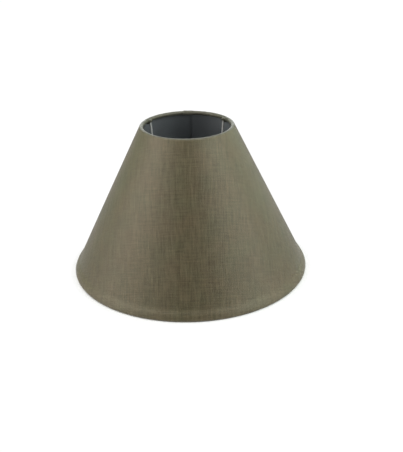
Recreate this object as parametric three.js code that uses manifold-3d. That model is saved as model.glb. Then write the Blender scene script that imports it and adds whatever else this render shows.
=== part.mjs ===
// Coolie lamp shade: a stiff cone of cloth on a PVC lining, both rolled over two wire hoops,
// with a three-arm dropped fitter ring that a lamp holder clamps.
// Millimetres, +Z up. The shade stands on its bottom edge at z = 0 round the Z axis, and its
// seam faces +Y, to the rear.

import * as THREE from "three";
import { mergeVertices } from "three/addons/utils/BufferGeometryUtils.js";
import Module from "manifold-3d";

// Overall size, over the rolled edges.
const BOTTOM_DIAMETER = 350;
const TOP_DIAMETER = 136;
const HEIGHT = 220;

// The wall spreads this much for each millimetre down, and flares a little more near its foot.
const WALL_SLOPE = 0.4903;
const FLARE_HEIGHT = 22;

// Rolled edges: the outer radius of each roll, and the angles at which its cloth stops.
const ROLL_RADIUS = 3;
const FOOT_FLAT_ANGLE = degrees(45);
const BOTTOM_TUCK_ANGLE = degrees(-260);
const TOP_TUCK_ANGLE = degrees(325);

// Layers of the wall, from the outside in.
const CLOTH_THICKNESS = 0.5;
const LINING_THICKNESS = 0.35;
const TAPE_THICKNESS = 0.15;
const LAYER_GAP = 0.1;

// The lap at the rear, where the wall's two ends cross. Its inner end is cut away near the edges.
const LAP_WIDTH = 10;
const LAP_TRIM = 20;
const LAP_SETTLE = 10;
const BUTT_GAP = 0.4;

// Wire hoops, and the tape wrapped round them with its slit towards the axis.
const WIRE_RADIUS = 1.5;
const HOOP_TAPE_RADIUS = 1.9;
const HOOP_TAPE_THICKNESS = 0.2;
const HOOP_TAPE_SLIT = degrees(70);

// Fitter: a flat ring for an E27 lamp holder, hung from the top hoop on three bent wires.
const FITTER_BORE = 42;
const FITTER_OUTER_DIAMETER = 54;
const FITTER_THICKNESS = 2;
const FITTER_DROP = 38;
const ARM_LEAN = 0.09;
const ARM_BEND = 8;
const WELD_GAP = 0.3;
const ARM_AZIMUTHS = {
  fitter_arm_rear_left: degrees(150),
  fitter_arm_rear_right: degrees(30),
  fitter_arm_front: degrees(270),
};

// Facets round the axis, and round a wire.
const TURN_STEPS = 48;
const WIRE_SIDES = 8;
const ARM_STEPS = 16;

const REAR = Math.PI / 2;
const FULL_TURN = 2 * Math.PI;

const wasm = await Module();
wasm.setup();

function degrees(angle) {
  return (angle * Math.PI) / 180;
}

function along(angle) {
  return new THREE.Vector2(Math.cos(angle), Math.sin(angle));
}

// ---- The wall's profile, as points of radius and height with their outward normals ----

const wallAngle = Math.atan(WALL_SLOPE);
const wallNormal = along(wallAngle);
const wallUp = along(wallAngle + Math.PI / 2);

const topHoop = new THREE.Vector2(TOP_DIAMETER / 2 - ROLL_RADIUS, HEIGHT - ROLL_RADIUS);
const bottomHoop = new THREE.Vector2(
  BOTTOM_DIAMETER / 2 - ROLL_RADIUS,
  ROLL_RADIUS * Math.cos(FOOT_FLAT_ANGLE / 2),
);

const wallTop = topHoop.clone().addScaledVector(wallNormal, ROLL_RADIUS);
const wallFoot = wallTop.clone().addScaledVector(wallUp, (FLARE_HEIGHT - wallTop.y) / wallUp.y);

// The flare is an arc that leaves the straight wall and meets the bottom roll, tangent to both.
const footFromHoop = wallFoot.clone().sub(bottomHoop);
const flareRadius =
  (footFromHoop.lengthSq() - ROLL_RADIUS ** 2) / (2 * (ROLL_RADIUS - footFromHoop.dot(wallNormal)));
const flareCentre = wallFoot.clone().addScaledVector(wallNormal, flareRadius);
const flareAngle = flareCentre.clone().sub(bottomHoop).angle();

// A station is one point of the profile. The lap's outer end is lifted there or not, and its
// inner end reaches under the outer one there or is trimmed away.
function station(point, angle, lifted, lapped) {
  return { point, normal: along(angle), lifted, lapped };
}

function rollStations(hoop, from, to, steps) {
  return Array.from({ length: steps + 1 }, (_, i) => {
    const angle = THREE.MathUtils.lerp(from, to, i / steps);
    return station(hoop.clone().addScaledVector(along(angle), ROLL_RADIUS), angle, false, false);
  });
}

function flareMiddle() {
  const angle = (flareAngle + wallAngle) / 2;
  return station(flareCentre.clone().addScaledVector(along(angle), -flareRadius), angle, true, false);
}

function wallStation(belowTop, lapped) {
  return station(wallTop.clone().addScaledVector(wallUp, -belowTop), wallAngle, true, lapped);
}

const footAngle = -Math.PI / 2;
const bottomRoll = [
  ...rollStations(bottomHoop, BOTTOM_TUCK_ANGLE, footAngle - FOOT_FLAT_ANGLE / 2, 4),
  ...rollStations(bottomHoop, footAngle + FOOT_FLAT_ANGLE / 2, flareAngle, 3),
];
const topRoll = [
  ...rollStations(topHoop, wallAngle, Math.PI / 2, 2),
  ...rollStations(topHoop, Math.PI / 2, TOP_TUCK_ANGLE, 6).slice(1),
];
const lapStations = [station(wallFoot, wallAngle, true, true), wallStation(LAP_TRIM, true)];
const wall = [flareMiddle(), ...lapStations, wallStation(LAP_SETTLE, false)];

const clothStations = [...bottomRoll, ...wall, ...topRoll];
const liningStations = [bottomRoll.at(-1), ...wall, topRoll[0]];

// ---- The turns of a rolled sheet, from its end inside the lap to its end outside it ----

const halfLap = LAP_WIDTH / 2;
const lapRise = CLOTH_THICKNESS + LINING_THICKNESS + TAPE_THICKNESS + 3 * LAYER_GAP;

// run is the distance round from the azimuth, and trimmedRun is what it is at a trimmed station.
function turn(azimuth, run, trimmedRun, lift) {
  return { azimuth, run, trimmedRun, lift };
}

const innerEnd = [
  turn(REAR, -halfLap, halfLap + BUTT_GAP, 0),
  turn(REAR, 0, halfLap + 2 * BUTT_GAP, 0),
  turn(REAR, halfLap + 1.5, halfLap + 1.5, 0),
];
const fullTurns = Array.from({ length: TURN_STEPS - 1 }, (_, i) =>
  turn(REAR + ((i + 1) * FULL_TURN) / TURN_STEPS, 0, 0, 0),
);
const outerEnd = [
  turn(REAR + FULL_TURN, -halfLap - 1, -halfLap - 1, 1),
  turn(REAR + FULL_TURN, 0, 0, 1),
  turn(REAR + FULL_TURN, halfLap, halfLap, 1),
];
const sheetTurns = [...innerEnd, ...fullTurns, ...outerEnd];

function sheetPoint(row, column, depth) {
  const run = column.lapped ? row.run : row.trimmedRun;
  const azimuth = row.azimuth + run / column.point.x;
  const lift = column.lifted ? row.lift * lapRise : 0;
  const at = column.point.clone().addScaledVector(column.normal, lift - depth);
  return [at.x * Math.cos(azimuth), at.x * Math.sin(azimuth), at.y];
}

// A closed sheet between two depths under the wall's outer face.
function sheetGeometry(turns, stations, outerDepth, innerDepth) {
  const positions = [];
  for (const depth of [outerDepth, innerDepth]) {
    for (const row of turns) {
      for (const column of stations) {
        positions.push(...sheetPoint(row, column, depth));
      }
    }
  }
  const width = stations.length;
  const lastTurn = turns.length - 1;
  const lastStation = width - 1;
  const outer = (i, j) => i * width + j;
  const inner = (i, j) => turns.length * width + i * width + j;
  const index = [];
  const quad = (a, b, c, d) => index.push(a, b, c, a, c, d);
  for (let i = 0; i < lastTurn; i++) {
    for (let j = 0; j < lastStation; j++) {
      quad(outer(i, j), outer(i + 1, j), outer(i + 1, j + 1), outer(i, j + 1));
      quad(inner(i, j), inner(i, j + 1), inner(i + 1, j + 1), inner(i + 1, j));
    }
    quad(outer(i + 1, 0), outer(i, 0), inner(i, 0), inner(i + 1, 0));
    quad(outer(i, lastStation), outer(i + 1, lastStation), inner(i + 1, lastStation), inner(i, lastStation));
  }
  for (let j = 0; j < lastStation; j++) {
    quad(outer(0, j), outer(0, j + 1), inner(0, j + 1), inner(0, j));
    quad(outer(lastTurn, j + 1), outer(lastTurn, j), inner(lastTurn, j), inner(lastTurn, j + 1));
  }
  const geometry = new THREE.BufferGeometry();
  geometry.setAttribute("position", new THREE.Float32BufferAttribute(positions, 3));
  geometry.setIndex(index);
  return geometry;
}

// ---- Cutting one solid out of another ----

function toManifold(geometry) {
  const bare = geometry.clone();
  bare.deleteAttribute("normal");
  bare.deleteAttribute("uv");
  const merged = mergeVertices(bare, 1e-4);
  return new wasm.Manifold(
    new wasm.Mesh({
      numProp: 3,
      vertProperties: new Float32Array(merged.attributes.position.array),
      triVerts: new Uint32Array(merged.index.array),
    }),
  );
}

function fromManifold(solid) {
  const mesh = solid.getMesh();
  const geometry = new THREE.BufferGeometry();
  geometry.setAttribute("position", new THREE.Float32BufferAttribute(mesh.vertProperties, 3));
  geometry.setIndex([...mesh.triVerts]);
  return geometry;
}

// ---- Cloth, lining and seam tape ----

const armRadiusAtTop = topHoop.x - 2 * WIRE_RADIUS - WELD_GAP;

// The turned margin is slit where each arm leaves the top hoop.
function armSlit(azimuth) {
  const inside = armRadiusAtTop - 2 * WIRE_RADIUS;
  const outside = topHoop.x;
  const below = topHoop.y - 1.2 * ROLL_RADIUS;
  const above = topHoop.y + WELD_GAP;
  const box = new THREE.BoxGeometry(outside - inside, 2 * (WIRE_RADIUS + WELD_GAP), above - below);
  box.translate((outside + inside) / 2, 0, (above + below) / 2);
  return box.rotateZ(azimuth);
}

function coverGeometry() {
  const cloth = sheetGeometry(sheetTurns, clothStations, 0, CLOTH_THICKNESS);
  let solid = toManifold(cloth);
  for (const azimuth of Object.values(ARM_AZIMUTHS)) {
    solid = solid.subtract(toManifold(armSlit(azimuth)));
  }
  return fromManifold(solid);
}

function liningGeometry() {
  const depth = CLOTH_THICKNESS + LAYER_GAP;
  return sheetGeometry(sheetTurns, liningStations, depth, depth + LINING_THICKNESS);
}

function seamTapeGeometry() {
  const reach = halfLap - 0.5;
  const turns = [-reach, 0, reach].map((run) => turn(REAR, run, run, 0));
  return sheetGeometry(turns, lapStations, -LAYER_GAP - TAPE_THICKNESS, -LAYER_GAP);
}

// ---- Hoops and the tape on them ----

// Turns a closed outline of radius and height, listed counter-clockwise, round the Z axis.
function turned(outline) {
  const closed = [...outline, outline[0].clone()];
  return new THREE.LatheGeometry(closed, TURN_STEPS).rotateX(Math.PI / 2);
}

function hoopGeometry(hoop) {
  const outline = Array.from({ length: WIRE_SIDES }, (_, i) =>
    hoop.clone().addScaledVector(along((i * FULL_TURN) / WIRE_SIDES), WIRE_RADIUS),
  );
  return turned(outline);
}

function hoopTapeGeometry(hoop) {
  const steps = 6;
  const from = -Math.PI + HOOP_TAPE_SLIT / 2;
  const span = FULL_TURN - HOOP_TAPE_SLIT;
  const arc = (radius) =>
    Array.from({ length: steps + 1 }, (_, i) =>
      hoop.clone().addScaledVector(along(from + (i * span) / steps), radius),
    );
  return turned([
    ...arc(HOOP_TAPE_RADIUS),
    ...arc(HOOP_TAPE_RADIUS - HOOP_TAPE_THICKNESS).reverse(),
  ]);
}

// ---- Fitter ----

const fitterHeight = HEIGHT - FITTER_DROP;

function fitterRingGeometry() {
  const inner = FITTER_BORE / 2;
  const outer = FITTER_OUTER_DIAMETER / 2;
  const low = fitterHeight - FITTER_THICKNESS / 2;
  const high = fitterHeight + FITTER_THICKNESS / 2;
  return turned([
    new THREE.Vector2(inner, low),
    new THREE.Vector2(outer, low),
    new THREE.Vector2(outer, high),
    new THREE.Vector2(inner, high),
  ]);
}

// Each arm drops from the top hoop, bends inwards and ends at the fitter ring's edge.
function armPath() {
  const top = new THREE.Vector3(armRadiusAtTop, 0, topHoop.y);
  const corner = new THREE.Vector3(armRadiusAtTop - ARM_LEAN * (topHoop.y - fitterHeight), 0, fitterHeight);
  const end = new THREE.Vector3(FITTER_OUTER_DIAMETER / 2 + WELD_GAP, 0, fitterHeight);
  const bendFrom = corner.clone().add(top.clone().sub(corner).setLength(ARM_BEND));
  const bendTo = corner.clone().add(end.clone().sub(corner).setLength(ARM_BEND));
  const path = new THREE.CurvePath();
  path.add(new THREE.LineCurve3(top, bendFrom));
  path.add(new THREE.QuadraticBezierCurve3(bendFrom, corner, bendTo));
  path.add(new THREE.LineCurve3(bendTo, end));
  return path;
}

function armGeometry(azimuth) {
  const section = new THREE.Shape(
    Array.from({ length: WIRE_SIDES }, (_, i) =>
      along(((i + 0.5) * FULL_TURN) / WIRE_SIDES).multiplyScalar(WIRE_RADIUS),
    ),
  );
  return new THREE.ExtrudeGeometry(section, { steps: ARM_STEPS, extrudePath: armPath() }).rotateZ(azimuth);
}

// ---- Assembly ----

const materials = {
  cloth: { color: 0x7a7058, roughness: 0.85, metalness: 0 },
  lining: { color: 0x4c5154, roughness: 0.55, metalness: 0 },
  wire: { color: 0xd8d8d4, roughness: 0.4, metalness: 0 },
  tape: { color: 0xe6e2d6, roughness: 0.6, metalness: 0 },
};

const lampShade = new THREE.Group();

function addPiece(name, geometry, finish) {
  const mesh = new THREE.Mesh(geometry, new THREE.MeshStandardMaterial(materials[finish]));
  mesh.name = name;
  lampShade.add(mesh);
}

addPiece("cover", coverGeometry(), "cloth");
addPiece("lining", liningGeometry(), "lining");
addPiece("seam_tape", seamTapeGeometry(), "tape");
addPiece("top_ring", hoopGeometry(topHoop), "wire");
addPiece("bottom_ring", hoopGeometry(bottomHoop), "wire");
addPiece("top_ring_tape", hoopTapeGeometry(topHoop), "tape");
addPiece("bottom_ring_tape", hoopTapeGeometry(bottomHoop), "tape");
addPiece("fitter_ring", fitterRingGeometry(), "wire");
for (const [name, azimuth] of Object.entries(ARM_AZIMUTHS)) {
  addPiece(name, armGeometry(azimuth), "wire");
}

export default lampShade;
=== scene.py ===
import math

import bpy
import numpy as np
from mathutils import Matrix, Vector


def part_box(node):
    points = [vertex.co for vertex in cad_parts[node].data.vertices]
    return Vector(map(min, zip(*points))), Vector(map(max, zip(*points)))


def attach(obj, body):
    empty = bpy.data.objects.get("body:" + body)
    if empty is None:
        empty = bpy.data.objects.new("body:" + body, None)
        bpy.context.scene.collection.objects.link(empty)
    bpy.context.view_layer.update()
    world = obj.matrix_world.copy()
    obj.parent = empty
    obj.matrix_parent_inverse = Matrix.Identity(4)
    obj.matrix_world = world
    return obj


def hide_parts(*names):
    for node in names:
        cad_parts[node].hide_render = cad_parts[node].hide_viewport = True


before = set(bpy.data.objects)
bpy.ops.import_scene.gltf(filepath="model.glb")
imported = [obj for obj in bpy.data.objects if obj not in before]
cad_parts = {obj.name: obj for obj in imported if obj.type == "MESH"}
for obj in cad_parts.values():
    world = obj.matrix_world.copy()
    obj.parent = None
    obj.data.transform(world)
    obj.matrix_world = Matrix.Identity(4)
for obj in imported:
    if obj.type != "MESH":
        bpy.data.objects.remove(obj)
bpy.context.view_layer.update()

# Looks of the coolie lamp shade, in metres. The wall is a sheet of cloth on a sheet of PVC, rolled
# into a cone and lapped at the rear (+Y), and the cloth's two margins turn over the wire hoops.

MM = 0.001
FULL_TURN = 2 * math.pi
REAR = math.pi / 2

# ---- Driving dimensions: what the frame gives, and the CAD model's own constants ----

cover_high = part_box("cover")[1]
ring_low, ring_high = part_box("top_ring")
foot_low, foot_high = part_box("bottom_ring")
fitter_low, fitter_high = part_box("fitter_ring")

WIRE_RADIUS = (ring_high.z - ring_low.z) / 2
TOP_HOOP = np.array([ring_high.x - WIRE_RADIUS, (ring_high.z + ring_low.z) / 2])
BOTTOM_HOOP = np.array([foot_high.x - WIRE_RADIUS, (foot_high.z + foot_low.z) / 2])
ROLL_RADIUS = cover_high.z - TOP_HOOP[1]

WALL_SLOPE = 0.4903
BOTTOM_TUCK_ANGLE = math.radians(-260)
TOP_TUCK_ANGLE = math.radians(325)
CLOTH_THICKNESS = 0.5 * MM
LINING_THICKNESS = 0.35 * MM
TAPE_THICKNESS = 0.15 * MM
LAYER_GAP = 0.1 * MM
HALF_LAP = 5 * MM
LAP_RISE = CLOTH_THICKNESS + LINING_THICKNESS + TAPE_THICKNESS + 3 * LAYER_GAP
HOOP_TAPE_RADIUS = 1.9 * MM
HOOP_TAPE_THICKNESS = 0.2 * MM
HOOP_TAPE_SLIT = math.radians(70)
FITTER_BORE = 42 * MM
WELD_GAP = 0.3 * MM
ARM_LEAN = 0.09
ARM_BEND = 8 * MM
ARM_AZIMUTHS = {
    "fitter_arm_rear_left": math.radians(150),
    "fitter_arm_rear_right": math.radians(30),
    "fitter_arm_front": math.radians(270),
}

# ---- Detail that only the looks have ----

# The wall's foot curves out to the bottom roll: hollow above, then a round belly.
BELLY_RADIUS = 33 * MM
BELLY_FOOT_ANGLE = math.radians(24)
BELLY_TOP_ANGLE = math.radians(40)

# The sheets' steps round the axis, closer at the lap and at the arms.
TURNS = 500
LAP_TURNS = 27
ARM_TURNS = 30
CLOSEST_TURN = 0.15 * FULL_TURN / TURNS
LAP_SPREAD = 0.12
ARM_SPREAD = math.radians(5)

# The sheets' steps up the profile, closer just below the top roll, where the lap is trimmed.
ROLL_STEPS = {"bottom": 24, "top": 26}
FLARE_STEPS = {"belly": 5, "hollow": 6}
WALL_STEPS = 9
WALL_DOWNS = MM * np.array([0.5, 1, 1.5, 2, 2.75, 3.5, 4.25, 5, 8, 14])

# The lap. On the wall the outer end climbs over the inner one, along LAP_RAMP. On the rolls the two
# only butt, with a small step, and the overlap shrinks from LAP_TRIM to LAP_SETTLE away from them.
# LAP_BLEND is the turn over which the sheet's grid slides to these places.
LAP_RAMP = (-14 * MM, -6 * MM)
LAP_BUTT = 5.1 * MM
LAP_BLEND = 0.3
LAP_SETTLE = 2 * MM
LAP_TRIM = 5 * MM
EDGE_RISE = 0.4 * MM

# The glued wall's errors: its slow waves as orders and weights, and the orders of its fine ones.
ROUNDNESS_ERROR = 0.25 * MM
ROUNDNESS_WAVES = ((2, 0.55), (3, 0.3), (5, 0.15))
BOARD_FLUTTER = 0.05 * MM
FLUTTER_ORDERS = (7, 9, 12, 16, 21, 27)
FLUTTER_STRETCH = 2.2

# The turned margins: waves all along, and puckers on their inner sides.
ROLL_UNEVENNESS = 0.07 * MM
ROLL_ORDERS = {"top": (19, 29, 41, 53), "bottom": (23, 37, 58, 71)}
PUCKER_HEIGHT = {"top": 0.22 * MM, "bottom": 0.35 * MM}
PUCKER_COUNT = {"top": 84, "bottom": 132}
PUCKER_ANGLES = {
    "top": (math.radians(130), math.radians(210)),
    "bottom": (math.radians(-220), math.radians(-140)),
}
PUCKER_DRIFT = 1.1
PUCKER_DRIFT_ORDERS = (17, 23, 31)
PUCKER_MEAN = 0.65
PUCKER_VARIATION = 0.35
PUCKER_LEAST = 0.15
PUCKER_SIZE_ORDERS = (5, 9, 13)
PUCKER_SHARPNESS = 0.7

# The bottom roll is plain where it stands. Its relief and the step of its lap start further round.
FOOT_ANGLES = (math.radians(20), math.radians(60))
FOOT_LAP_ANGLES = (math.radians(20), math.radians(70))

# At each arm the top margin is slit and lifted.
ARM_SLIT_ANGLE = math.radians(205)
ARM_SLIT_REACH = (1.9 * MM, 3.0 * MM)
ARM_BUMP = 2.7 * MM
ARM_BUMP_REACH = (2.0 * MM, 5.0 * MM)
ARM_BUMP_ANGLES = (math.radians(135), math.radians(178))

# The wires, tapes and fitter ring.
SEAM_TAPE_MARGIN = 0.5 * MM
SEAM_TAPE_COLUMNS = 9
HOOP_TURNS = 192
HOOP_TAPE_SIDES = 22
WIRE_SIDES = 20
FITTER_CORNER = 0.45 * MM
CORNER_POINTS = 5
ARM_POINTS = {"drop": 12, "bend": 17, "reach": 24}
ARM_END_STEP = 0.18 * MM
ARM_END_TAPER = (0.92, 0.7, 0.35)
WELD_BEAD = 0.55 * MM
WELD_BEAD_PLACE = 1.3 * MM
WELD_BEAD_SPREAD = 1.1 * MM

# Edges that turn by more than this are drawn sharp.
SHARP_ANGLE = math.radians(40)

random = np.random.default_rng(11)


def along(angle):
    """Unit vectors of radius and height at an angle."""
    return np.stack([np.cos(angle), np.sin(angle)], axis=-1)


def ramp(value, start, end):
    """0 before start, 1 after end, and a straight ramp between them."""
    return np.clip((value - start) / (end - start), 0, 1)


def smooth(value, start, end):
    """0 before start, 1 after end, and a smooth step between them."""
    share = ramp(value, start, end)
    return share * share * (3 - 2 * share)


# ---- The wall's profile, from the cloth's edge inside the bottom roll to its edge inside the top ----

WALL_ANGLE = math.atan(WALL_SLOPE)
WALL_NORMAL = along(WALL_ANGLE)
WALL_UP = along(WALL_ANGLE + math.pi / 2)
WALL_TOP = TOP_HOOP + ROLL_RADIUS * WALL_NORMAL
BELLY_CENTRE = BOTTOM_HOOP + (ROLL_RADIUS - BELLY_RADIUS) * along(BELLY_FOOT_ANGLE)
BELLY_TOP = BELLY_CENTRE + BELLY_RADIUS * along(BELLY_TOP_ANGLE)
HOLLOW_TURN = BELLY_TOP_ANGLE - WALL_ANGLE
HOLLOW_RADIUS = (BELLY_TOP - WALL_TOP) @ WALL_NORMAL / (1 - math.cos(HOLLOW_TURN))
HOLLOW_CENTRE = BELLY_TOP + HOLLOW_RADIUS * along(BELLY_TOP_ANGLE)
WALL_FOOT = HOLLOW_CENTRE - HOLLOW_RADIUS * WALL_NORMAL
WALL_LENGTH = np.linalg.norm(WALL_TOP - WALL_FOOT)

# down is the distance along the profile below the top of the wall. It is negative on the top roll.
FOOT_DOWN = WALL_LENGTH
BELLY_TOP_DOWN = WALL_LENGTH + HOLLOW_RADIUS * HOLLOW_TURN
FLARE_END_DOWN = BELLY_TOP_DOWN + BELLY_RADIUS * (BELLY_TOP_ANGLE - BELLY_FOOT_ANGLE)
APEX_TO_WALL_TOP = WALL_TOP[0] / math.sin(WALL_ANGLE)


def profile(with_rolls):
    """Each station's point, the angle of its normal, and down, from the bottom up."""
    belly = np.linspace(BELLY_FOOT_ANGLE, BELLY_TOP_ANGLE, FLARE_STEPS["belly"] + 1)
    hollow = np.linspace(BELLY_TOP_ANGLE, WALL_ANGLE, FLARE_STEPS["hollow"] + 1)[1:]
    long_steps = np.linspace(WALL_LENGTH, WALL_DOWNS[-1], WALL_STEPS + 1)[1:-1]
    wall = np.concatenate([long_steps, WALL_DOWNS[::-1], [0]])
    points = [
        BELLY_CENTRE + BELLY_RADIUS * along(belly),
        HOLLOW_CENTRE - HOLLOW_RADIUS * along(hollow),
        WALL_TOP - wall[:, None] * WALL_UP,
    ]
    angles = [belly, hollow, np.full(len(wall), WALL_ANGLE)]
    downs = [
        BELLY_TOP_DOWN + BELLY_RADIUS * (BELLY_TOP_ANGLE - belly),
        WALL_LENGTH + HOLLOW_RADIUS * (hollow - WALL_ANGLE),
        wall,
    ]
    if with_rolls:
        bottom = np.linspace(BOTTOM_TUCK_ANGLE, BELLY_FOOT_ANGLE, ROLL_STEPS["bottom"] + 1)[:-1]
        top = np.linspace(WALL_ANGLE, TOP_TUCK_ANGLE, ROLL_STEPS["top"] + 1)[1:]
        points = [
            BOTTOM_HOOP + ROLL_RADIUS * along(bottom),
            *points,
            TOP_HOOP + ROLL_RADIUS * along(top),
        ]
        angles = [bottom, *angles, top]
        downs = [
            FLARE_END_DOWN + ROLL_RADIUS * (BELLY_FOOT_ANGLE - bottom),
            *downs,
            -ROLL_RADIUS * (top - WALL_ANGLE),
        ]
    return np.concatenate(points), np.concatenate(angles), np.concatenate(downs)


# ---- The sheet's turn round the axis, from its end inside the lap to its end outside ----


def turn_angles():
    """Angles from the rear: even steps, with closer ones at the lap and at each arm."""
    even = np.linspace(0, FULL_TURN, TURNS + 1)
    near_lap = np.linspace(0, LAP_SPREAD, LAP_TURNS + 1)
    parts = [even, near_lap, FULL_TURN - near_lap]
    for azimuth in ARM_AZIMUTHS.values():
        middle = (azimuth - REAR) % FULL_TURN
        parts.append(np.linspace(middle - ARM_SPREAD, middle + ARM_SPREAD, ARM_TURNS + 1))
    angles = np.sort(np.concatenate(parts))
    far_enough = np.diff(angles, prepend=-1) > CLOSEST_TURN
    far_enough[-1] = True
    return angles[far_enough]


def wander(azimuth, orders):
    """A smooth random wave round the axis, between about -1 and 1, that closes on itself."""
    phases = random.uniform(0, FULL_TURN, len(orders))
    waves = [np.cos(order * azimuth + phase) for order, phase in zip(orders, phases)]
    return sum(waves) / math.sqrt(len(orders))


class WallField:
    """How far the glued wall stands off its ideal cone, as a function of azimuth and down."""

    def __init__(self):
        self.round = random.uniform(0, FULL_TURN, len(ROUNDNESS_WAVES))
        self.flutter = random.uniform(0, FULL_TURN, (len(FLUTTER_ORDERS), 2))

    def __call__(self, azimuth, down):
        share = np.clip(down / FLARE_END_DOWN, 0, 1)
        between_hoops = np.sin(math.pi * share)
        out_of_round = sum(
            weight * np.cos(order * azimuth + phase)
            for (order, weight), phase in zip(ROUNDNESS_WAVES, self.round)
        )
        flutter = sum(
            np.cos(order * azimuth + phase)
            * np.cos(FLUTTER_STRETCH * k * share * math.pi / 2 + slope)
            for k, (order, (phase, slope)) in enumerate(zip(FLUTTER_ORDERS, self.flutter), 1)
        )
        return between_hoops * (ROUNDNESS_ERROR * out_of_round + BOARD_FLUTTER * flutter / 2)


wall_field = WallField()


class Sheet:
    """A rolled sheet's grid of points, one row for each turn angle and one column for each station."""

    def __init__(self, turns, stations):
        points, angles, downs = stations
        turns = turns[:, None]
        above_foot = FLARE_END_DOWN - downs
        lapped = ramp(downs, LAP_SETTLE, LAP_TRIM) * ramp(above_foot, LAP_SETTLE, LAP_TRIM)
        start_run = LAP_BUTT + (-HALF_LAP - LAP_BUTT) * lapped
        starting = 1 - smooth(turns, 0, LAP_BLEND)
        ending = smooth(turns, FULL_TURN - LAP_BLEND, FULL_TURN)
        self.turn = turns + (starting * start_run + ending * HALF_LAP) / points[:, 0]
        self.azimuth = REAR + self.turn
        self.down = np.broadcast_to(downs, self.azimuth.shape)
        self.angle = np.broadcast_to(angles, self.azimuth.shape).copy()
        self.point = np.broadcast_to(points, (*self.azimuth.shape, 2)).copy()
        run = (self.turn - FULL_TURN) * points[:, 0]
        climbing = smooth(run, *LAP_RAMP)
        lifted = smooth(downs, 0, LAP_SETTLE) * smooth(above_foot, 0, LAP_SETTLE)
        self.rise = climbing * (LAP_RISE * lifted + EDGE_RISE * (1 - lifted))
        self.relief = wall_field(self.azimuth, self.down)

    def at(self, depth):
        """The points at a depth under the outer face."""
        profile_point = self.point + along(self.angle) * (self.rise + self.relief - depth)[..., None]
        radius, height = profile_point[..., 0], np.maximum(profile_point[..., 1], 0)
        return np.stack([radius * np.cos(self.azimuth), radius * np.sin(self.azimuth), height], axis=-1)

    def flat_cut(self):
        """Where each point lay on the sheet before it was rolled, with the grain upright at the front."""
        reach = APEX_TO_WALL_TOP + self.down
        swing = (self.turn - math.pi) * math.sin(WALL_ANGLE)
        return np.stack([reach * np.sin(swing), -reach * np.cos(swing)], axis=-1)


# ---- Objects and meshes ----


def add_object(name, data):
    thing = bpy.data.objects.new(name, data)
    bpy.context.scene.collection.objects.link(thing)
    return thing


def make_piece(name, points, faces, flat=None):
    """A mesh object, with sharp edges kept sharp, and its flat cut as a UV map."""
    mesh = bpy.data.meshes.new(name)
    mesh.from_pydata(points.tolist(), [], faces)
    mesh.polygons.foreach_set("use_smooth", np.ones(len(mesh.polygons), bool))
    mesh.set_sharp_from_angle(angle=SHARP_ANGLE)
    if flat is not None:
        corners = np.zeros(len(mesh.loops), np.int32)
        mesh.loops.foreach_get("vertex_index", corners)
        layer = mesh.uv_layers.new(name="flat_cut")
        layer.uv.foreach_set("vector", flat[corners].astype(np.float32).ravel())
    mesh.validate()
    return add_object(name, mesh)


def loft_faces(loops, size, closed=False):
    """Faces that join loops of points, each loop closed on itself."""
    faces = []
    for i in range(loops if closed else loops - 1):
        here, there = i * size, ((i + 1) % loops) * size
        faces += [
            (here + j, there + j, there + (j + 1) % size, here + (j + 1) % size) for j in range(size)
        ]
    return faces


def sheet_piece(name, sheet, outer_depth, inner_depth):
    """A closed sheet between two depths, with its four cut edges."""
    outer, inner = sheet.at(outer_depth), sheet.at(inner_depth)
    rows, columns = outer.shape[:2]
    loops = np.concatenate([outer, inner[:, ::-1]], axis=1)
    size = 2 * columns
    faces = loft_faces(rows, size)
    last = (rows - 1) * size
    for j in range(columns - 1):
        faces.append((j, j + 1, size - 2 - j, size - 1 - j))
        faces.append((last + j + 1, last + j, last + size - 1 - j, last + size - 2 - j))
    flat = sheet.flat_cut()
    flat_loops = np.concatenate([flat, flat[:, ::-1]], axis=1)
    return make_piece(name, loops.reshape(-1, 3), faces, flat_loops.reshape(-1, 2))


def turned_piece(name, outline):
    """A closed outline of radius and height, turned round the Z axis."""
    azimuth = np.linspace(0, FULL_TURN, HOOP_TURNS, endpoint=False)[:, None]
    radius, height = outline[:, 0], outline[:, 1]
    loops = np.stack(
        [radius * np.cos(azimuth), radius * np.sin(azimuth), height + 0 * azimuth], axis=-1
    )
    return make_piece(name, loops.reshape(-1, 3), loft_faces(HOOP_TURNS, len(outline), closed=True))


def tube_piece(name, path, radii):
    """A round bar along a path in the XZ plane, with its own radius at each point."""
    tangent = np.gradient(path, axis=0)
    tangent /= np.linalg.norm(tangent, axis=1)[:, None]
    across = np.stack([-tangent[:, 1], tangent[:, 0]], axis=-1)
    turn = np.linspace(0, FULL_TURN, WIRE_SIDES, endpoint=False)
    in_plane = path[:, None] + (radii[:, None] * np.cos(turn))[..., None] * across[:, None]
    aside = radii[:, None] * np.sin(turn)
    loops = np.stack([in_plane[..., 0], aside, in_plane[..., 1]], axis=-1)
    faces = loft_faces(len(path), WIRE_SIDES)
    last = (len(path) - 1) * WIRE_SIDES
    faces += [tuple(range(WIRE_SIDES)), tuple(last + i for i in reversed(range(WIRE_SIDES)))]
    return make_piece(name, loops.reshape(-1, 3), faces)


def fit_out(piece, node, material):
    """Puts a finished piece in the place of its CAD node."""
    piece.data.materials.append(material)
    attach(piece, "root")
    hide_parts(node)


# ---- Materials ----


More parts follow.
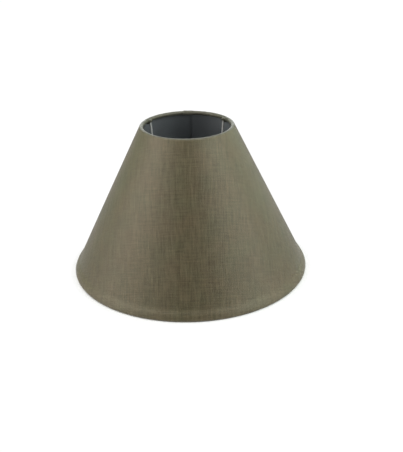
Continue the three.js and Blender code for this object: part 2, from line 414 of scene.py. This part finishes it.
class Graph:
    """A procedural material's nodes, with short calls for the ones used here."""

    def __init__(self, name):
        self.material = bpy.data.materials.new(name)
        self.material.use_nodes = True
        self.nodes = self.material.node_tree.nodes
        self.links = self.material.node_tree.links
        self.surface = self.nodes["Principled BSDF"]

    def feed(self, socket, value):
        if isinstance(value, bpy.types.NodeSocket):
            self.links.new(value, socket)
        else:
            socket.default_value = value

    def math(self, operation, a, b=0.0, c=0.0):
        node = self.nodes.new("ShaderNodeMath")
        node.operation = operation
        for socket, value in zip(node.inputs, (a, b, c)):
            self.feed(socket, value)
        return node.outputs[0]

    def join(self, x, y):
        node = self.nodes.new("ShaderNodeCombineXYZ")
        for socket, value in zip(node.inputs, (x, y)):
            self.feed(socket, value)
        return node.outputs[0]

    def noise(self, place, scale=1, detail=2, roughness=0.5):
        node = self.nodes.new("ShaderNodeTexNoise")
        self.feed(node.inputs["Vector"], place)
        self.feed(node.inputs["Scale"], scale)
        self.feed(node.inputs["Detail"], detail)
        self.feed(node.inputs["Roughness"], roughness)
        return node.outputs["Fac"]

    def streaky_noise(self, x, y, rates, roughness=0.5):
        """Noise that changes at a rate of its own along each of two coordinates."""
        place = self.join(self.math("MULTIPLY", x, rates[0]), self.math("MULTIPLY", y, rates[1]))
        return self.noise(place, roughness=roughness)

    def white_noise(self, value):
        node = self.nodes.new("ShaderNodeTexWhiteNoise")
        node.noise_dimensions = "1D"
        self.feed(node.inputs["W"], value)
        return node.outputs["Value"]

    def spread(self, value, low, high, to_low=0.0, to_high=1.0):
        node = self.nodes.new("ShaderNodeMapRange")
        for socket, number in zip(node.inputs, (value, low, high, to_low, to_high)):
            self.feed(socket, number)
        return node.outputs[0]

    def blend(self, share, first, second):
        node = self.nodes.new("ShaderNodeMix")
        node.data_type = "RGBA"
        self.feed(node.inputs["Factor"], share)
        self.feed(node.inputs["A"], first)
        self.feed(node.inputs["B"], second)
        return node.outputs["Result"]

    def drift(self, noise, first, second):
        """One colour that drifts into another as a noise changes."""
        return self.blend(self.spread(noise, *NOISE_RANGE), first, second)

    def scaled(self, vector, share):
        """A colour or a place, times a number."""
        node = self.nodes.new("ShaderNodeVectorMath")
        node.operation = "SCALE"
        self.feed(node.inputs[0], vector)
        self.feed(node.inputs["Scale"], share)
        return node.outputs[0]

    def bump(self, height, distance, strength):
        node = self.nodes.new("ShaderNodeBump")
        self.feed(node.inputs["Strength"], strength)
        self.feed(node.inputs["Distance"], distance)
        self.feed(node.inputs["Height"], height)
        self.feed(self.surface.inputs["Normal"], node.outputs[0])

    def flat_cut(self):
        """The place on the flat sheet, in millimetres, across the front and up it."""
        source = self.nodes.new("ShaderNodeUVMap")
        source.uv_map = "flat_cut"
        parts = self.nodes.new("ShaderNodeSeparateXYZ")
        self.feed(parts.inputs[0], source.outputs[0])
        return [self.math("DIVIDE", parts.outputs[i], MM) for i in (0, 1)]

    def place(self):
        """The place on the object, in millimetres."""
        source = self.nodes.new("ShaderNodeTexCoord")
        return self.scaled(source.outputs["Object"], 1 / MM)

    def set(self, **values):
        """Sets sockets of the shader by their names in lower case."""
        for name, value in values.items():
            socket = name.replace("_", " ").title().replace("Ior", "IOR")
            self.feed(self.surface.inputs[socket], value)


# Most of a noise's values lie between these two.
NOISE_RANGE = (0.3, 0.7)

# Lengths on the flat sheet are in millimetres, and rates are changes for each millimetre or thread.
THREAD_PITCH = 0.75
THREAD_WAVER = 2.5
WAVER_RATE = 0.05
CROSSING_EDGE = 0.25
SLUB_RATES = (0.34, 0.045)
SLUB_ROUGHNESS = 0.6
SLUB_RANGE = (0.36, 0.72)
STREAK_RATES = (0.18, 0.02)
FLECK_RATES = (0.9, 0.35)
CLOUD_RATE = 0.028
CLOUD_RANGE = (0.35, 0.65)
# Weave heights and the tone they give: painted shade in the threads' gaps and painted light on their
# crowns.
WEAVE_RANGE = (0.0, 0.8)
WEAVE_SHADE = (0.74, 1.055)
CLOTH_RELIEF = 0.10 * MM
SLUB_RELIEF = {"up": 0.9, "across": 0.7}

# How light the cloth is before its uneven parts are added, and how much each of them counts.
CLOTH_TONE = 0.64
TONE_WEIGHTS = {
    "warp": 0.14,
    "weft": 0.10,
    "streaks": 0.55,
    "flecks": 0.42,
    "up_slubs": 0.38,
    "across_slubs": 0.28,
}

TAUPE = (0.0930, 0.0727, 0.0415, 1)
OLIVE = (0.0835, 0.0736, 0.0411, 1)
# A painted grey sheen for the top roll: its colour, how much of it is mixed into the cloth's colour, and
# over how many millimetres it comes in.
ROLL_SHEEN_GREY = (0.0640, 0.0700, 0.0600, 1)
ROLL_SHEEN_SHARE = 0.65
ROLL_SHEEN_FADE = 2

# The two ends of each material's roughness, and of the other materials' colours.
PVC_COLORS = ((0.225, 0.240, 0.260, 1), (0.260, 0.280, 0.300, 1))
ENAMEL_COLORS = ((0.42, 0.42, 0.41, 1), (0.55, 0.55, 0.54, 1))
TAPE_COLORS = ((0.66, 0.62, 0.53, 1), (0.76, 0.73, 0.65, 1))
FLOOR_COLORS = ((0.86, 0.86, 0.86, 1), (0.88, 0.88, 0.88, 1))
BACKDROP_COLORS = ((1, 1, 1, 1), (0.99, 0.99, 0.99, 1))
CLOTH_ROUGHNESS = (0.28, 0.42)
PVC_ROUGHNESS = (0.42, 0.55)
ENAMEL_ROUGHNESS = (0.28, 0.42)
TAPE_ROUGHNESS = (0.5, 0.7)


def plain_weave(g, warp, weft):
    """Height of round threads, from 0 to 1, that pass over and under each other in turn."""
    warp_turn = g.math("MULTIPLY", warp, math.pi)
    weft_turn = g.math("MULTIPLY", weft, math.pi)
    warp_wave = g.math("SINE", warp_turn)
    weft_wave = g.math("COSINE", weft_turn)
    crossing = g.math("MULTIPLY", warp_wave, weft_wave)
    warp_over = g.spread(crossing, -CROSSING_EDGE, CROSSING_EDGE)
    weft_over = g.math("SUBTRACT", 1.0, warp_over)
    return g.math(
        "ADD",
        g.math("MULTIPLY", g.math("ABSOLUTE", warp_wave), warp_over),
        g.math("MULTIPLY", g.math("ABSOLUTE", weft_wave), weft_over),
    )


def cloth_tone(g, **parts):
    """How light the cloth is, from the parts that make it uneven."""
    tone = CLOTH_TONE
    for name, part in parts.items():
        tone = g.math("MULTIPLY_ADD", part, TONE_WEIGHTS[name], tone)
    return tone


def painted_roll_sheen(g, color, across, up):
    """The cloth's colour, greyed over the top roll from the top of the wall up: a painted grey sheen."""
    squares = [g.math("MULTIPLY", side, side) for side in (across, up)]
    reach = g.math("SQRT", g.math("ADD", *squares))
    wall_top = APEX_TO_WALL_TOP / MM
    over_hoop = g.spread(reach, wall_top, wall_top - ROLL_SHEEN_FADE, 0, ROLL_SHEEN_SHARE)
    return g.blend(over_hoop, color, ROLL_SHEEN_GREY)


def cloth_material():
    g = Graph("cover_cloth")
    across, up = g.flat_cut()

    # Threads waver, and each has its own tone.
    flat = g.join(across, up)
    waver = g.noise(flat, WAVER_RATE)
    warp, weft = [
        g.math("DIVIDE", g.math("MULTIPLY_ADD", waver, THREAD_WAVER, side), THREAD_PITCH)
        for side in (across, up)
    ]
    warp_tone = g.white_noise(g.math("FLOOR", warp))
    weft_tone = g.white_noise(g.math("FLOOR", g.math("ADD", weft, 0.5)))
    weave = plain_weave(g, warp, weft)

    # Slubs: long thick places in some threads, up the front and across it.
    slub_up = g.streaky_noise(warp, up, SLUB_RATES, SLUB_ROUGHNESS)
    slub_across = g.streaky_noise(across, weft, SLUB_RATES[::-1], SLUB_ROUGHNESS)
    up_slubs = g.spread(slub_up, *SLUB_RANGE)
    across_slubs = g.spread(slub_across, *SLUB_RANGE)

    tone = cloth_tone(
        g,
        warp=warp_tone,
        weft=weft_tone,
        streaks=g.math("SUBTRACT", g.streaky_noise(across, up, STREAK_RATES), 0.5),
        flecks=g.math("SUBTRACT", g.streaky_noise(across, up, FLECK_RATES), 0.5),
        up_slubs=up_slubs,
        across_slubs=across_slubs,
    )
    # The gaps between the threads are darker, and the threads' crowns a little lighter: painted shade and
    # painted light on the weave's relief.
    tone = g.math("MULTIPLY", tone, g.spread(weave, *WEAVE_RANGE, *WEAVE_SHADE))

    cloud = g.noise(flat, CLOUD_RATE, detail=3, roughness=0.55)
    color = g.blend(g.spread(cloud, *CLOUD_RANGE), TAUPE, OLIVE)
    # Painted grey sheen over the top roll.
    color = painted_roll_sheen(g, color, across, up)
    g.set(base_color=g.scaled(color, tone), roughness=g.spread(warp_tone, 0, 1, *CLOTH_ROUGHNESS))
    g.set(specular_ior_level=0.6, specular_tint=(1.0, 0.94, 0.78, 1))
    g.set(sheen_weight=0.05, sheen_roughness=0.5, sheen_tint=(1.0, 0.98, 0.92, 1))
    height = g.math("MULTIPLY_ADD", up_slubs, SLUB_RELIEF["up"], weave)
    height = g.math("MULTIPLY_ADD", across_slubs, SLUB_RELIEF["across"], height)
    g.bump(height, CLOTH_RELIEF, strength=0.7)
    return g.material


def lining_material():
    g = Graph("lining_pvc")
    flat = g.join(*g.flat_cut())
    cloud = g.noise(flat, scale=0.02, detail=3)
    grain = g.noise(flat, scale=1.6)
    roughness = g.spread(cloud, *NOISE_RANGE, *PVC_ROUGHNESS)
    g.set(base_color=g.drift(cloud, *PVC_COLORS), roughness=roughness)
    g.bump(grain, distance=0.02 * MM, strength=0.5)
    return g.material


def wire_material():
    g = Graph("frame_wire")
    place = g.place()
    cloud = g.noise(place, scale=0.25, detail=3)
    orange_peel = g.noise(place, scale=1.5)
    roughness = g.spread(cloud, *NOISE_RANGE, *ENAMEL_ROUGHNESS)
    g.set(base_color=g.drift(cloud, *ENAMEL_COLORS), roughness=roughness)
    g.bump(orange_peel, distance=0.03 * MM, strength=0.6)
    return g.material


def tape_material():
    g = Graph("tape")
    place = g.place()
    cloud = g.noise(place, scale=0.3, detail=3)
    crinkle = g.noise(place, scale=0.8, detail=3, roughness=0.7)
    roughness = g.spread(crinkle, *NOISE_RANGE, *TAPE_ROUGHNESS)
    g.set(base_color=g.drift(cloud, *TAPE_COLORS), roughness=roughness)
    g.bump(crinkle, distance=0.05 * MM, strength=0.6)
    return g.material


def mix_by_distance(g, near, far, fade):
    """One shader close to the axis, another further out, with a soft change between two distances."""
    distance = g.nodes.new("ShaderNodeVectorMath")
    distance.operation = "LENGTH"
    g.feed(distance.inputs[0], g.place())
    mixed = g.nodes.new("ShaderNodeMixShader")
    g.feed(mixed.inputs[0], g.spread(distance.outputs["Value"], *[radius / MM for radius in fade]))
    g.feed(mixed.inputs[1], near.outputs[0])
    g.feed(mixed.inputs[2], far.outputs[0])
    g.feed(g.nodes["Material Output"].inputs["Surface"], mixed.outputs[0])


def floor_material():
    """Matt white near the shade, and further out an even glow that lights the shade from below."""
    g = Graph("studio_floor")
    cloud = g.noise(g.place(), scale=0.002)
    g.set(base_color=g.drift(cloud, *FLOOR_COLORS), roughness=0.9, specular_ior_level=0.1)
    glow = g.nodes.new("ShaderNodeEmission")
    glow.inputs["Strength"].default_value = FLOOR_GLOW
    mix_by_distance(g, g.surface, glow, FLOOR_FADE)
    return g.material


def backdrop_material():
    """Even white, and clear near the shade, where the floor under it shows."""
    g = Graph("studio_backdrop")
    cloud = g.noise(g.place(), scale=0.001, detail=1)
    g.set(base_color=(0, 0, 0, 1), roughness=1.0, specular_ior_level=0.0)
    g.set(emission_color=g.blend(cloud, *BACKDROP_COLORS), emission_strength=WHITE)
    mix_by_distance(g, g.nodes.new("ShaderNodeBsdfTransparent"), g.surface, SWEEP_FADE)
    return g.material


# ---- Cloth ----


def puckers(azimuth, count):
    """Round tucks with narrow creases between them, higher in some places than in others."""
    phase = count * azimuth / 2 + PUCKER_DRIFT * wander(azimuth, PUCKER_DRIFT_ORDERS)
    size = PUCKER_MEAN + PUCKER_VARIATION * wander(azimuth, PUCKER_SIZE_ORDERS)
    return np.clip(size, PUCKER_LEAST, 1) * np.abs(np.sin(phase)) ** PUCKER_SHARPNESS


def arm_nearness(azimuth, inner, outer):
    """1 within inner of an arm, 0 beyond outer, measured along the top hoop."""
    total = 0
    for arm in ARM_AZIMUTHS.values():
        aside = np.abs((azimuth - arm + math.pi) % FULL_TURN - math.pi) * TOP_HOOP[0]
        total = total + 1 - smooth(aside, inner, outer)
    return total


def slit_top_margin(sheet, on_top):
    """Draws the top margin's edge back round the hoop at each arm."""
    slit = arm_nearness(sheet.azimuth, *ARM_SLIT_REACH)
    tuck_angle = TOP_TUCK_ANGLE + (ARM_SLIT_ANGLE - TOP_TUCK_ANGLE) * slit
    share = (sheet.angle - WALL_ANGLE) / (TOP_TUCK_ANGLE - WALL_ANGLE)
    angle = WALL_ANGLE + share * (tuck_angle - WALL_ANGLE)
    roll_point = TOP_HOOP + ROLL_RADIUS * along(angle)
    sheet.angle = np.where(on_top, angle, sheet.angle)
    sheet.point = np.where(on_top[..., None], roll_point, sheet.point)


def top_relief(sheet):
    """Height of the top margin's waves and puckers, and of its lift over the arms' ends."""
    over_arm = arm_nearness(sheet.azimuth, *ARM_BUMP_REACH)
    bump = ARM_BUMP * over_arm * smooth(sheet.angle, *ARM_BUMP_ANGLES)
    tucks = puckers(sheet.azimuth, PUCKER_COUNT["top"])
    inner_side = smooth(sheet.angle, *PUCKER_ANGLES["top"])
    waves = ROLL_UNEVENNESS * wander(sheet.azimuth, ROLL_ORDERS["top"])
    rounding = smooth(sheet.angle, WALL_ANGLE, math.pi / 2)
    return PUCKER_HEIGHT["top"] * tucks * inner_side * (1 - over_arm) + bump + waves * rounding


def off_foot(sheet, angles):
    """0 where the bottom roll stands on the floor, and 1 further round it."""
    return smooth(np.abs(sheet.angle + math.pi / 2), *angles)


def bottom_relief(sheet):
    """Height of the bottom margin's waves and puckers."""
    tucks = puckers(sheet.azimuth, PUCKER_COUNT["bottom"])
    inner_side = 1 - smooth(sheet.angle, *PUCKER_ANGLES["bottom"])
    waves = ROLL_UNEVENNESS * wander(sheet.azimuth, ROLL_ORDERS["bottom"])
    return (PUCKER_HEIGHT["bottom"] * tucks * inner_side + waves) * off_foot(sheet, FOOT_ANGLES)


def shape_rolls(sheet):
    """Slits, puckers and unevenness in the turned margins, and a plain foot to stand on."""
    on_top = sheet.down < 0
    on_bottom = sheet.down > FLARE_END_DOWN
    slit_top_margin(sheet, on_top)
    reliefs = [top_relief(sheet), bottom_relief(sheet)]
    sheet.relief = np.select([on_top, on_bottom], reliefs, sheet.relief)
    sheet.rise = np.where(on_bottom, sheet.rise * off_foot(sheet, FOOT_LAP_ANGLES), sheet.rise)


def make_cover(material):
    sheet = Sheet(turn_angles(), profile(with_rolls=True))
    shape_rolls(sheet)
    cover = sheet_piece("shade_cover", sheet, 0, CLOTH_THICKNESS)
    fit_out(cover, "cover", material)


# ---- Lining and seam tape ----


def make_lining(material):
    sheet = Sheet(turn_angles(), profile(with_rolls=False))
    depth = CLOTH_THICKNESS + LAYER_GAP
    lining = sheet_piece("shade_lining", sheet, depth, depth + LINING_THICKNESS)
    fit_out(lining, "lining", material)


def make_seam_tape(material):
    """A straight strip on the inner end of the board, under the outer one."""
    points, angles, downs = profile(with_rolls=False)
    under_lap = (downs >= LAP_TRIM) & (downs <= FOOT_DOWN)
    stations = points[under_lap], angles[under_lap], downs[under_lap]
    sheet = Sheet(np.zeros(SEAM_TAPE_COLUMNS), stations)
    reach = HALF_LAP - SEAM_TAPE_MARGIN
    across = np.linspace(-reach, reach, SEAM_TAPE_COLUMNS)[:, None]
    sheet.azimuth = REAR + across / points[under_lap, 0]
    sheet.relief = wall_field(sheet.azimuth, sheet.down)
    tape = sheet_piece("shade_seam_tape", sheet, -LAYER_GAP - TAPE_THICKNESS, -LAYER_GAP)
    fit_out(tape, "seam_tape", material)


# ---- Hoops and the tape on them ----


def make_hoop(node, hoop, material):
    around = np.linspace(0, FULL_TURN, WIRE_SIDES, endpoint=False)
    ring = turned_piece(f"wire_{node}", hoop + WIRE_RADIUS * along(around))
    fit_out(ring, node, material)


def make_hoop_tape(node, hoop, material):
    around = np.linspace(HOOP_TAPE_SLIT / 2 - math.pi, math.pi - HOOP_TAPE_SLIT / 2, HOOP_TAPE_SIDES)
    outside = hoop + HOOP_TAPE_RADIUS * along(around)
    inside = hoop + (HOOP_TAPE_RADIUS - HOOP_TAPE_THICKNESS) * along(around[::-1])
    tape = turned_piece(f"wrapped_{node}", np.concatenate([outside, inside]))
    fit_out(tape, node, material)


# ---- Fitter ----


def rounded_corners(low, high, radius):
    """A rectangle of radius and height with round corners, counter-clockwise."""
    outline = []
    corners = (
        (low[0], low[1], 2),
        (high[0], low[1], 3),
        (high[0], high[1], 0),
        (low[0], high[1], 1),
    )
    for x, y, quarter in corners:
        inward = np.array([1 if x == low[0] else -1, 1 if y == low[1] else -1])
        turn = (quarter + np.linspace(0, 1, CORNER_POINTS)) * math.pi / 2
        outline.append(np.array([x, y]) + radius * inward + radius * along(turn))
    return np.concatenate(outline)


def make_fitter_ring(material):
    outline = rounded_corners(
        (FITTER_BORE / 2, fitter_low.z), (fitter_high.x, fitter_high.z), FITTER_CORNER
    )
    ring = turned_piece("fitter_ring_plate", outline)
    fit_out(ring, "fitter_ring", material)


def arm_path():
    """An arm's centre line: down from the top hoop, through a bend, and in to the fitter ring."""
    height = (fitter_low.z + fitter_high.z) / 2
    top = np.array([TOP_HOOP[0] - 2 * WIRE_RADIUS - WELD_GAP, TOP_HOOP[1]])
    corner = np.array([top[0] - ARM_LEAN * (top[1] - height), height])
    end = np.array([fitter_high.x + WELD_GAP, height])
    bend_from = corner + ARM_BEND * (top - corner) / np.linalg.norm(top - corner)
    bend_to = corner + ARM_BEND * (end - corner) / np.linalg.norm(end - corner)
    share = np.linspace(0, 1, ARM_POINTS["bend"])[:, None]
    bend = (1 - share) ** 2 * bend_from + 2 * share * (1 - share) * corner + share**2 * bend_to
    lead = np.linspace(0, 1, ARM_POINTS["drop"], endpoint=False)[:, None]
    drop = top + (bend_from - top) * lead
    reach = bend_to + (end - bend_to) * np.linspace(0, 1, ARM_POINTS["reach"])[1:, None]
    return np.concatenate([drop, bend, reach])


def make_arm(node, azimuth, material):
    """A bent wire with a bead of weld near its inner end, which is rounded off."""
    path = arm_path()
    to_end = np.linalg.norm(path - path[-1], axis=1)
    radii = WIRE_RADIUS + WELD_BEAD * np.exp(-(((to_end - WELD_BEAD_PLACE) / WELD_BEAD_SPREAD) ** 2))
    for share in ARM_END_TAPER:
        path = np.concatenate([path, path[-1:] - [[ARM_END_STEP, 0]]])
        radii = np.append(radii, radii[-1] * share)
    arm = tube_piece(f"wire_{node}", path, radii)
    arm.data.transform(Matrix.Rotation(azimuth, 4, "Z"))
    fit_out(arm, node, material)


# ---- Studio ----

CAMERA_PLACE = (0, -1.04408, 0.55051)
CAMERA_DOWN = math.radians(25.168)
CAMERA_TURN = math.radians(0.966)
CAMERA_ROLL = math.radians(-1.195)
LENS = 61.00

STUDIO_RADIUS = 12
FLOOR_SIDES = 96
DOME_SIDES = 48
DOME_RINGS = 24
SWEEP_HEIGHT = 0.1 * MM
WHITE = 1.04
FLOOR_FADE = (0.172, 0.20)
SWEEP_FADE = (0.172, 0.185)
FLOOR_GLOW = 0.50
FILL = 0.03
OVERHEAD = 0.30
OVERHEAD_SPREAD = math.radians(70)
OVERHEAD_PLACE = (0, 0.8, 3)
BOX_DISTANCE = 1.5
SHADE_MIDDLE = Vector((0, 0, 0.1))
WARM_WHITE = (1.0, 0.98, 0.95)
COOL_WHITE = (0.95, 1.0, 0.98)
# Each softbox's name, degrees round from the front, degrees up, width, height, radiance and colour.
SOFTBOXES = (
    ("left_key", -55, 22, 0.6, 1.6, 2.3, WARM_WHITE),
    ("left_side", -85, 22, 0.6, 1.6, 3.4, (1.0, 0.98, 0.92)),
    ("left_rim", -125, 22, 0.6, 1.6, 0.9, (0.80, 1.0, 0.64)),
    ("left_high", -60, 60, 0.9, 0.9, 2.6, WARM_WHITE),
    ("right_key", 55, 22, 0.6, 1.6, 3.1, COOL_WHITE),
    ("right_side", 85, 22, 0.6, 1.6, 2.65, (0.97, 1.0, 0.92)),
    ("right_rim", 125, 22, 0.6, 1.6, 1.9, (0.86, 1.0, 0.78)),
    ("right_high", 60, 60, 0.9, 0.9, 3.0, COOL_WHITE),
    ("back", 180, 20, 1.6, 0.9, 1.8, COOL_WHITE),
)


def from_front(azimuth, elevation):
    """A direction out from the shade, so far round from the front to the right, and so far up."""
    level = math.cos(elevation)
    return Vector((math.sin(azimuth) * level, -math.cos(azimuth) * level, math.sin(elevation)))


def make_camera():
    forward = -from_front(-CAMERA_TURN, CAMERA_DOWN)
    level = Vector((math.cos(CAMERA_TURN), -math.sin(CAMERA_TURN), 0))
    above = level.cross(forward)
    right = math.cos(CAMERA_ROLL) * level + math.sin(CAMERA_ROLL) * above
    up = math.cos(CAMERA_ROLL) * above - math.sin(CAMERA_ROLL) * level
    facing = Matrix((right, up, -forward)).transposed().to_4x4()
    data = bpy.data.cameras.new("camera")
    data.lens = LENS
    camera = add_object("camera", data)
    camera.matrix_world = Matrix.Translation(CAMERA_PLACE) @ facing
    bpy.context.scene.camera = camera


def aim(thing, place, target):
    thing.location = place
    thing.rotation_euler = (Vector(place) - Vector(target)).to_track_quat("Z", "Y").to_euler()


def make_softbox(name, azimuth, elevation, width, height, radiance, color):
    """A soft area light that faces the shade."""
    light = bpy.data.lights.new(name, "AREA")
    light.shape = "RECTANGLE"
    light.size, light.size_y = width, height
    light.energy = radiance * math.pi * width * height
    light.color = color
    softbox = add_object(name, light)
    away = from_front(math.radians(azimuth), math.radians(elevation))
    aim(softbox, SHADE_MIDDLE + BOX_DISTANCE * away, SHADE_MIDDLE)
    softbox.visible_camera = False


def make_floor():
    bpy.ops.mesh.primitive_circle_add(vertices=FLOOR_SIDES, radius=STUDIO_RADIUS, fill_type="NGON")
    floor = bpy.context.object
    floor.name = "studio_floor"
    floor.data.materials.append(floor_material())


def make_backdrop():
    """A white dome and sweep that only show behind the shade and light nothing."""
    bpy.ops.mesh.primitive_uv_sphere_add(
        segments=DOME_SIDES, ring_count=DOME_RINGS, radius=STUDIO_RADIUS
    )
    backdrop = bpy.context.object
    backdrop.name = "studio_backdrop"
    for vertex in backdrop.data.vertices:
        vertex.co.z = max(vertex.co.z, SWEEP_HEIGHT)
    backdrop.data.materials.append(backdrop_material())
    for kind in ("diffuse", "glossy", "transmission", "volume_scatter", "shadow"):
        setattr(backdrop, f"visible_{kind}", False)


def make_fill():
    """A little even light from all round."""
    world = bpy.data.worlds.new("studio")
    world.use_nodes = True
    background = world.node_tree.nodes["Background"]
    background.inputs["Color"].default_value = (1, 1, 1, 1)
    background.inputs["Strength"].default_value = FILL
    bpy.context.scene.world = world


def make_overhead():
    """A weak and very soft light from above and a little behind."""
    sky = bpy.data.lights.new("overhead", "SUN")
    sky.energy = OVERHEAD * math.pi
    sky.angle = OVERHEAD_SPREAD
    aim(add_object("overhead", sky), OVERHEAD_PLACE, (0, 0, 0))


def make_studio():
    make_floor()
    make_backdrop()
    make_fill()
    make_overhead()
    for softbox in SOFTBOXES:
        make_softbox(*softbox)
    bpy.context.scene.view_settings.view_transform = "Standard"


# ---- Assembly ----


def make_shade():
    cloth, lining, wire, tape = cloth_material(), lining_material(), wire_material(), tape_material()
    make_cover(cloth)
    make_lining(lining)
    make_seam_tape(tape)
    make_hoop("top_ring", TOP_HOOP, wire)
    make_hoop("bottom_ring", BOTTOM_HOOP, wire)
    make_hoop_tape("top_ring_tape", TOP_HOOP, tape)
    make_hoop_tape("bottom_ring_tape", BOTTOM_HOOP, tape)
    make_fitter_ring(wire)
    for node, azimuth in ARM_AZIMUTHS.items():
        make_arm(node, azimuth, wire)


make_camera()
make_studio()
make_shade()
